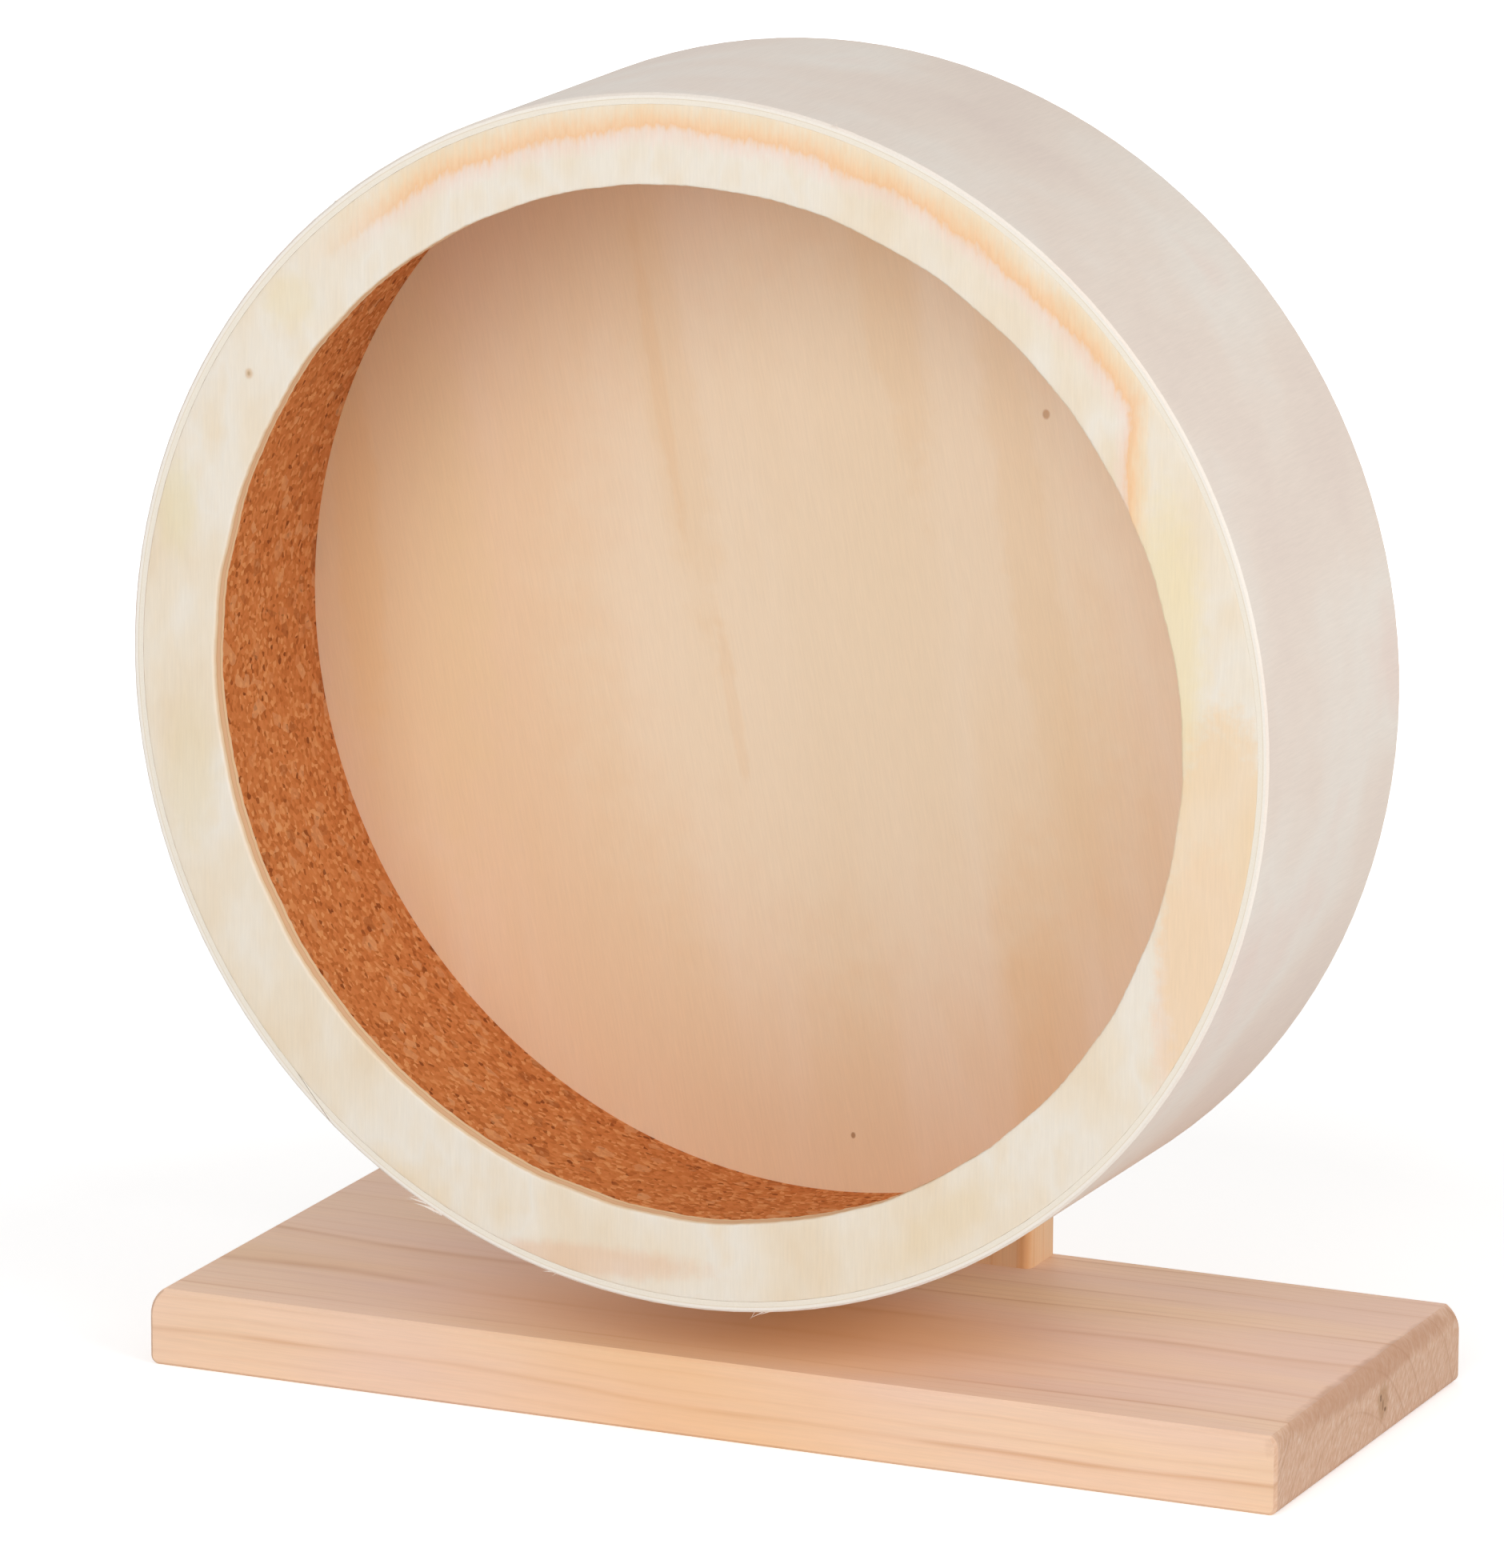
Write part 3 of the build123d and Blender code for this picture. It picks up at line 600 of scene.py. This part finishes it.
# Front ring
# Flat plywood ring let into the hoop, sanded. The veneer is cream sapwood. Its heartwood shows as
# an orange crescent over the top, with a pink fringe inside it and paler peach outside.
def ring_heartwood(tree, place, colour):
    """Stains the veneer outside a circle about the axle, cut off straight on the right. Its edge
    wanders, with a ragged finer edge on top, and paler stains lie apart from it."""
    middle = (0.0, 0.0, axle_height * 1000)
    sapwood_radius = 126.0
    sapwood_right = 101.5
    wander = figure(tree, place, (22, 22, 22), 5.0, 0.55)
    ragged = figure(tree, place, (1.3, 1.3, 4), 3.0, 0.6)
    wander_share, wander_offset = 0.050, -0.046
    ragged_share = 0.035
    offset = add(tree, "ShaderNodeVectorMath", {
        0: place, 1: [-m for m in middle]}, operation="ADD")
    flat = add(tree, "ShaderNodeVectorMath", {
        0: offset.outputs[0], 1: (1 / sapwood_radius, 0, 1 / sapwood_radius)}, operation="MULTIPLY")
    circle = add(tree, "ShaderNodeVectorMath", {0: flat.outputs[0]}, operation="LENGTH")
    sides = add(tree, "ShaderNodeSeparateXYZ", {0: offset.outputs[0]})
    right = add(tree, "ShaderNodeMath", {
        0: sides.outputs["X"], 1: 1 / sapwood_right}, operation="MULTIPLY")
    outside = add(tree, "ShaderNodeMath", {
        0: circle.outputs["Value"], 1: right.outputs[0]}, operation="MAXIMUM")
    torn = add(tree, "ShaderNodeMath", {
        0: wander, 1: wander_share, 2: wander_offset}, operation="MULTIPLY_ADD")
    level = add(tree, "ShaderNodeMath", {
        0: outside.outputs[0], 1: torn.outputs[0]}, operation="ADD")
    edged = add(tree, "ShaderNodeMath", {
        0: ragged, 1: ragged_share, 2: level.outputs[0]}, operation="MULTIPLY_ADD")
    first_flecks, palest_peach = 0.965, 1.06
    share = add(tree, "ShaderNodeMapRange", {
        "Value": edged.outputs[0], "From Min": first_flecks, "From Max": palest_peach})
    # From the sapwood out: pink flecks, an orange line, then ever paler peach.
    tint = add(tree, "ShaderNodeValToRGB", {0: share.outputs[0]}, stops=[
        (0.0, "#F2DDD3"), (0.28, "#F2CFC0"), (0.42, "#F2BE8A"), (0.54, "#F4C797"), (0.8, "#F2D6AE"),
        (1.0, "#F0DEC3")])
    amount = add(tree, "ShaderNodeValToRGB", {0: share.outputs[0]}, stops=[
        (0.0, 0.0), (0.14, 0.30), (0.33, 0.55), (0.42, 0.80), (0.56, 0.74), (0.8, 0.5), (1.0, 0.25)])
    # The crescent lies over the top and ends further down on the right side.
    lean = 0.35
    ends_mm, whole_mm = 55.0, 88.0
    leaning = add(tree, "ShaderNodeMath", {
        0: sides.outputs["X"], 1: lean, 2: sides.outputs["Z"]}, operation="MULTIPLY_ADD")
    above = add(tree, "ShaderNodeMapRange", {
        "Value": leaning.outputs[0], "From Min": ends_mm, "From Max": whole_mm},
        interpolation_type="SMOOTHSTEP")
    strength = add(tree, "ShaderNodeMath", {
        0: amount.outputs[0], 1: above.outputs[0]}, operation="MULTIPLY")
    stained = add(tree, "ShaderNodeMix", {
        0: strength.outputs[0], 6: colour, 7: tint.outputs[0]}, data_type="RGBA").outputs[2]
    # Paler stains of the same heartwood, and one pin knot. Tint, its share, place from the axle,
    # half width and height, turn in degrees and how far out it starts to fade.
    through = 1e6
    for tinted, much, x, z, wide, high, turn, soft in (
            ("#EEDCB2", 0.70, 111, 22, 12, 48, 0, 0.4), ("#F1CFB6", 0.45, 121, -55, 13, 42, 0, 0.75),
            ("#EFD0A9", 0.62, 125, -36, 16, 54, 0, 0.75), ("#E6B998", 0.45, -26, -127, 40, 5, 2, 0.4),
            ("#E5D5A8", 0.45, -124, 34, 7, 15, 0, 0.3), ("#E6D5B4", 0.50, -121, -26, 9, 24, 0, 0.3),
            ("#EBD9B0", 0.45, -96, 82, 9, 9, 0, 0.3), ("#E8D2AE", 0.50, 62, -108, 26, 7, 40, 0.3),
            ("#CFA676", 0.60, -106, 65, 1.3, 1.6, 0, 0.3), ("#9C7A50", 0.45, -106, 65, 0.5, 0.7, 0, 0.3)):
        stained = mark(
            tree, place, stained, tinted, much, (x, 0.0, middle[2] + z), (wide, through, high),
            turn=math.radians(turn), torn=(0.5, 3.0), soft=soft)
    return stained


# Plies from the ring's front (0) to its back (1).
ring_layers = [
    (0.0, "#F1E3CC"), (0.28, "#ECD6B4"), (0.31, "#CDA57A"), (0.35, "#E3BE97"),
    (0.64, "#E5C19C"), (0.68, "#CDA57A"), (0.71, "#EACDA6"), (1.0, "#ECD3B0")]


def ring_edge(tree, mm, colour):
    """The wall of the opening shows the ring's plies from front to back."""
    across = add(tree, "ShaderNodeSeparateXYZ", {0: mm})
    front, rear = (1000 * corner.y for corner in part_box("front_ring"))
    depth = add(tree, "ShaderNodeMapRange", {
        "Value": across.outputs["Y"], "From Min": front, "From Max": rear})
    face_share = facing_share(tree, "Y", least=0.25, most=0.75)
    beside = add(tree, "ShaderNodeMath", {0: 1.0, 1: face_share}, operation="SUBTRACT")
    return ply_edge(tree, colour, depth.outputs[0], beside.outputs[0], ring_layers)


def lathe(name, profile, start, sweep, steps, shift):
    """Closed half section of (radius, y) points carried round the axle from a start angle through
    a sweep, in degrees. shift gives how far a point leaves its place, in radius and y."""
    whole = sweep == 360
    sharp_from = math.radians(35)
    made = bmesh.new()
    turns = []
    for i in range(steps if whole else steps + 1):
        angle = math.radians(start + sweep * i / steps)
        loop = []
        for radius, y in profile:
            more_radius, more_y = shift(angle, radius, y)
            far = radius + more_radius
            loop.append(made.verts.new((
                far * math.cos(angle), y + more_y, axle_height + far * math.sin(angle))))
        turns.append(loop)
    count = len(profile)
    for i in range(steps):
        here, after = turns[i], turns[(i + 1) % len(turns)]
        for j in range(count):
            made.faces.new((here[j], here[(j + 1) % count], after[(j + 1) % count], after[j]))
    if not whole:
        made.faces.new(turns[0])
        made.faces.new(turns[-1])
    bmesh.ops.recalc_face_normals(made, faces=made.faces)
    mesh = bpy.data.meshes.new(name)
    made.to_mesh(mesh)
    made.free()
    mesh.shade_smooth()
    mesh.set_sharp_from_angle(angle=sharp_from)
    piece = bpy.data.objects.new(name, mesh)
    bpy.context.scene.collection.objects.link(piece)
    return piece


ring_front, ring_rear = (corner.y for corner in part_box("front_ring"))
# Glue fills most of the gap to the hoop.
glue_fill = 0.00007
ring_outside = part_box("front_ring")[1].x + glue_fill
ring_outer_easing = 0.00015
ring_width = 0.0175
ring_inside = ring_outside - ring_width
ring_corner = 0.0005
ring_support = 0.0012


def ring_profile():
    """The ring's section: each corner eased by a short arc, with a point beside it on either flat
    that keeps the flats flat."""
    points = []
    arc_steps = 4
    corners = ((ring_inside, ring_rear, 1, -1), (ring_inside, ring_front, 1, 1),
               (ring_outside, ring_front, -1, 1), (ring_outside, ring_rear, -1, -1))
    for index, (radius, y, inward, onward) in enumerate(corners):
        easing = ring_corner if inward == 1 else ring_outer_easing
        middle = (radius + inward * easing, y + onward * easing)
        arc = []
        for k in range(arc_steps + 1):
            a = math.radians(90 * k / arc_steps)
            arc.append((middle[0] - inward * easing * math.cos(a),
                        middle[1] - onward * easing * math.sin(a)))
        arc = [(radius, y + onward * ring_support)] + arc + [(radius + inward * ring_support, y)]
        points += arc if index % 2 == 1 else arc[::-1]
    return points


def sawn_by_hand(angle, radius, y):
    """The opening was cut with a router held by hand, so its wall wanders by up to a third of a
    millimetre, with short torn nicks."""
    if radius > ring_inside + ring_width / 2:
        return 0.0, 0.0
    waves, nicks = 9, 70
    wave_slice, nicks_a_metre = 0.3, 300
    wave_depth, nick_depth = 0.00040, 0.00016
    wave = noise.noise((waves * math.cos(angle), waves * math.sin(angle), wave_slice))
    nick = noise.noise((nicks * math.cos(angle), nicks * math.sin(angle), nicks_a_metre * y))
    return wave_depth * wave + nick_depth * nick, 0.0


ring_shades = ("#E8D5BA", "#EBDDC8", "#ECE3D5", "#EAD8BD")
ring = lathe("ring_panel", ring_profile(), start=0, sweep=360, steps=720, shift=sawn_by_hand)
ring.data.materials.append(veneer(
    "sanded poplar ring", ring_shades, fibre_mm=(0.5, 0.5, 8.0), cloud_mm=(20, 20, 34), tilt=0.0,
    overlays=[ring_heartwood, ring_edge]))
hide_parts("front_ring")
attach(ring, "wheel")


# Back disc
# The same plywood, a whole sheet glued into the hoop with its grain leaning a little, warmer in
# colour and faintly streaked. No bolt shows inside.
def disc_marks_and_painted_light(tree, mm, colour):
    """A painted pool of light in the middle, paler where the drum's walls shade the disc least, then a few
    long thin streaks along the grain and two pin knots.
    """
    through = 1e6
    # Tint, its share, place from the axle, half width and height, turn in degrees, torn edge.
    for tinted, much, x, z, wide, high, turn, torn in (
            # The first entry is the painted pool of light in the middle of the disc.
            ("#F8E8CC", 0.60, 8, 8, 88, 110, 0, 0.5), ("#EFCB9E", 0.35, -41, 56, 2.4, 44, 10.6, 1.4),
            ("#F1D2A8", 0.28, -37, 48, 8, 66, 10.6, 1.4), ("#EFCB9E", 0.24, -22, -18, 2.2, 26, 10.6, 1.4),
            ("#F2C88C", 0.45, -115, 12, 7, 60, 4, 0.9),
            ("#F2DAAE", 0.45, -108, 20, 30, 120, 8, 0.8), ("#F1D0A2", 0.30, 14, 84, 9, 60, 11, 1.2),
            ("#F1D1A4", 0.30, 50, 20, 8, 90, 11, 1.2), ("#B9834F", 0.60, 52.8, 56.3, 1.1, 1.4, 0, 0.5),
            ("#9B6A3A", 0.70, 7.8, -113, 0.7, 0.9, 0, 0.5)):
        colour = mark(
            tree, mm, colour, tinted, much, (x, 0.0, 1000 * axle_height + z), (wide, through, high),
            turn=math.radians(turn), torn=(torn, 9.0))
    return colour


disc_shades = ("#F3D7B2", "#F5DAB8", "#F7DFC2", "#F4D4AC")
dress("back_disc", veneer(
    "warm poplar disc", disc_shades, fibre_mm=(0.45, 0.45, 9.0), cloud_mm=(40, 40, 200),
    tilt=math.radians(11), overlays=[disc_marks_and_painted_light]))


# Cork track
# Pressed cork sheet glued inside the hoop, with a hair's gap at its seam: orange-brown granules
# just under a millimetre across, and a few larger flakes, pale or dark.
def pressed_cork():
    """Cork granules packed edge to edge, each with its own shade. The eye gets a rough, matt,
    speckled surface. Their outlines are pushed about, so that they are not plain cells."""
    material, tree = new_material("pressed cork")
    mm = millimetres(tree)
    granule_mm, flake_mm, push_mm = 0.8, 2.2, 1.5
    push_share = 0.25
    bent = add(tree, "ShaderNodeTexNoise", {"Vector": mm, "Scale": 1 / push_mm, "Detail": 3.0})
    pushed = add(tree, "ShaderNodeMix", {
        0: push_share, 4: mm, 5: bent.outputs["Color"]}, data_type="VECTOR")
    granule = add(tree, "ShaderNodeTexVoronoi", {
        "Vector": pushed.outputs[1], "Scale": 1 / granule_mm})
    shade = add(tree, "ShaderNodeSeparateColor", {0: granule.outputs["Color"]})
    tone = add(tree, "ShaderNodeValToRGB", {0: shade.outputs[0]}, stops=[
        (0.0, "#8F4E27"), (0.04, "#BC6F3A"), (0.30, "#CE8048"), (0.75, "#DA8E54"), (1.0, "#E8A970")])
    # A few flakes are two or three times larger, pale or bark-dark.
    flake = add(tree, "ShaderNodeTexVoronoi", {
        "Vector": pushed.outputs[1], "Scale": 1 / flake_mm})
    which = add(tree, "ShaderNodeSeparateColor", {0: flake.outputs["Color"]})
    flake_share = add(tree, "ShaderNodeValToRGB", {0: which.outputs[1]}, stops=[
        (0.0, 0.35), (0.030, 0.30), (0.04, 0.0), (0.90, 0.0), (0.93, 0.40), (1.0, 0.55)])
    flake_tone = add(tree, "ShaderNodeValToRGB", {0: which.outputs[1]}, stops=[
        (0.0, "#8A4A28"), (0.5, "#C77A45"), (1.0, "#EBB583")])
    mixed = add(tree, "ShaderNodeMix", {
        0: flake_share.outputs[0], 6: tone.outputs[0], 7: flake_tone.outputs[0]}, data_type="RGBA")
    relief = add(tree, "ShaderNodeBump", {
        "Height": granule.outputs["Distance"], "Strength": 0.5, "Distance": 0.0002}, invert=True)
    surface = add(tree, "ShaderNodeBsdfPrincipled", {
        "Base Color": mixed.outputs[2], "Roughness": 0.85, "IOR": 1.4,
        "Specular IOR Level": 0.2, "Normal": relief.outputs[0]})
    add(tree, "ShaderNodeOutputMaterial", {"Surface": surface.outputs[0]})
    return material


cork_front, cork_rear = (corner.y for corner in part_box("cork_track"))
cork_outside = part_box("cork_track")[1].x
cork_thickness = 0.006
cork_seam_angle = 62.0
cork_seam_half_gap = 0.1
granule_relief = 0.00015
granule_slope = 0.6
granules_a_metre = 800.0


def cork_profile():
    """Fine steps across the running face, so that granules stand out of it, and a plain back."""
    across = 76
    face = [(cork_outside - cork_thickness, cork_front + (cork_rear - cork_front) * i / across)
            for i in range(across + 1)]
    return face + [(cork_outside, cork_rear), (cork_outside, cork_front)]


def granular(angle, radius, y):
    """Granules stand about a tenth of a millimetre proud of the gaps between them, where the two
    nearest granules are equally far."""
    if radius > cork_outside - cork_thickness / 2 or y in (cork_front, cork_rear):
        return 0.0, 0.0
    place = Vector((radius * math.cos(angle), y, radius * math.sin(angle))) * granules_a_metre
    near = noise.voronoi(place)[0]
    return granule_relief * (granule_slope - min(near[1] - near[0], granule_slope)), 0.0


cork = lathe(
    "cork_lining", cork_profile(), start=cork_seam_angle + cork_seam_half_gap,
    sweep=360 - 2 * cork_seam_half_gap, steps=960, shift=granular)
cork.data.materials.append(pressed_cork())
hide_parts("cork_track")
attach(cork, "wheel")


# Hub block
# A round of beech turned on a lathe, bored for the bolt's head and for the bearing, glued and
# screwed to the disc.
hub_shades = {
    "early": "#DDB98E", "cool": "#D5B088", "warm": "#E2BF92", "late": "#C79C6C",
    "end": "#CFAA7C", "end_dark": "#B38C60", "end_pale": "#DEC29C", "end_late": "#AB8459",
}
dress("hub_block", solid_wood(
    "turned beech hub", along="X", pith=(70.0, 120.0), ring_width=2.1, shades=hub_shades,
    shift=5.0))
